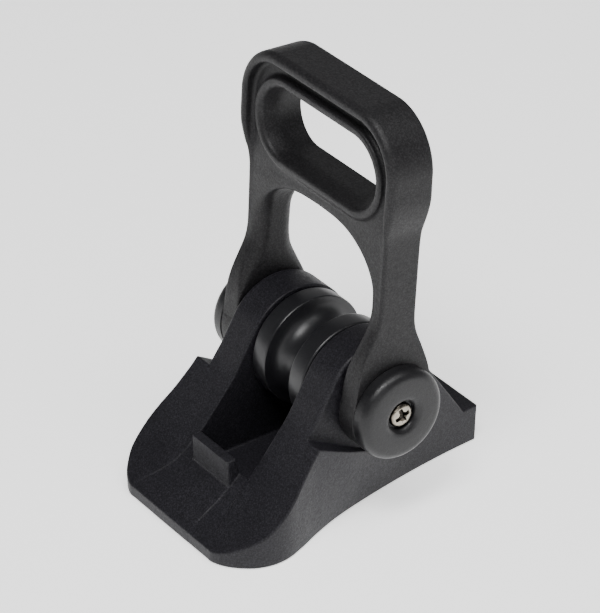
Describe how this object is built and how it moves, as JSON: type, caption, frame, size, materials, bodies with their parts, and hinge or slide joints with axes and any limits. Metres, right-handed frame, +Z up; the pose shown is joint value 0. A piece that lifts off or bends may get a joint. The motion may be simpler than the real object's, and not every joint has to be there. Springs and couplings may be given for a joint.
{
  "type": "rope roller fairlead with pull lever",
  "caption": "Deck rope roller between moulded cheeks on a ramped base, with a U-shaped pull lever that folds over on the same axle.",
  "frame": {"origin": "on the seating face, straight below the middle of the pivot axis", "axes": "+Z up from the seating face, X along the pivot axis, -Y towards the thin front edge of the ramp, +Y towards the rear ledge"},
  "size_m": [0.086, 0.1117, 0.1449],
  "materials": {
    "nylon_black": "fine matte moulded texture, glass-filled nylon",
    "roller_polymer": "smooth semi-gloss, turned groove",
    "stainless": "polished stainless",
    "spring_steel": "plain spring steel",
    "acetal_white": "natural acetal",
    "acetal_dark": "dark acetal",
    "brass_insert": "machined brass"
  },
  "bodies": {
    "base": {"base_body": "nylon_black", "axle": "stainless", "axle_grub_screw_left": "stainless", "axle_grub_screw_right": "stainless", "thrust_washer_left": "acetal_dark", "thrust_washer_right": "acetal_dark", "friction_washer_left": "acetal_dark", "friction_washer_right": "acetal_dark", "disc_spring_left": "spring_steel", "disc_spring_right": "spring_steel", "end_cap_left": "nylon_black", "end_cap_right": "nylon_black", "cap_screw_left": "stainless", "cap_screw_right": "stainless", "threaded_insert_front_left": "brass_insert", "threaded_insert_front_right": "brass_insert", "threaded_insert_rear_left": "brass_insert", "threaded_insert_rear_right": "brass_insert"},
    "lever": {"pull_lever": "nylon_black", "lever_bush_left": "acetal_white", "lever_bush_right": "acetal_white"},
    "roller": {"rope_roller": "roller_polymer", "roller_bush_left": "acetal_white", "roller_bush_right": "acetal_white"}
  },
  "joints": [
    {"name": "lever_pivot", "type": "hinge", "parent": "base", "child": "lever", "pos_m": [0, 0, 0.0415], "axis": [1, 0, 0], "range_deg": [-100, 78]},
    {"name": "roller_spin", "type": "hinge", "parent": "base", "child": "roller", "pos_m": [0, 0, 0.0415], "axis": [1, 0, 0], "continuous": true}
  ]
}
